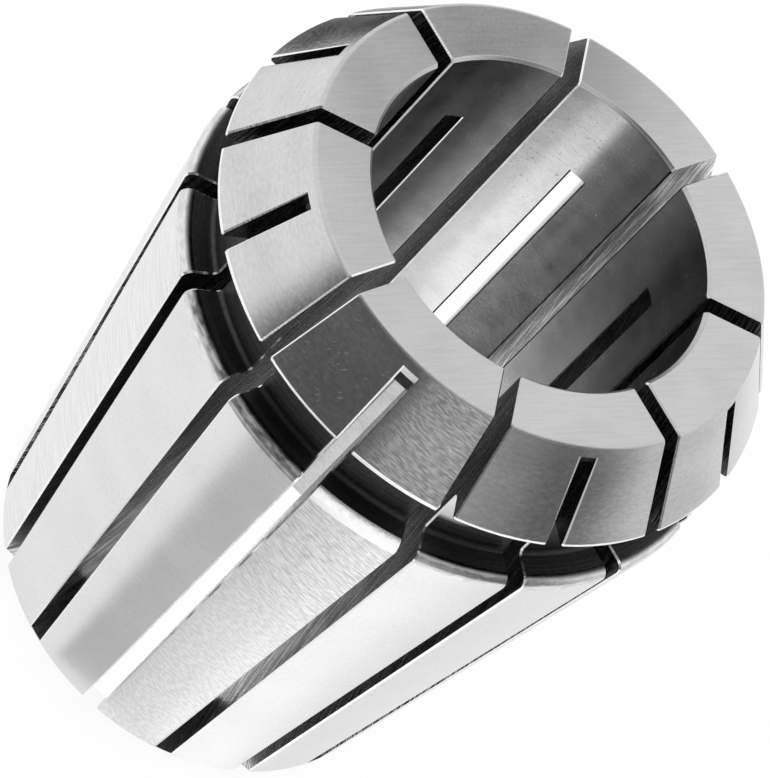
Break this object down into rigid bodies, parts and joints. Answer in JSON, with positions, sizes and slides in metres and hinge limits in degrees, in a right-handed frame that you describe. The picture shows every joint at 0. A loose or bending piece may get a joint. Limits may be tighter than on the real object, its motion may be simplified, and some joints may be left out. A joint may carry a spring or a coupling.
{
  "type": "er collet",
  "caption": "Slotted spring collet with a long shallow taper, a nut groove, a short steep front cone and a straight through bore.",
  "frame": {"origin": "on the axis, in the plane of the rear end, which is the small end", "axes": "+Z along the axis from the rear end to the front face, where the shank goes in; -Y through a slot that is sawn from the rear end"},
  "size_m": [0.033, 0.033, 0.04],
  "materials": {
    "steel": "hardened spring steel, ground on its tapers and bore, turned in its groove, bright"
  },
  "bodies": {
    "root": {"collet": "steel"}
  },
  "joints": []
}
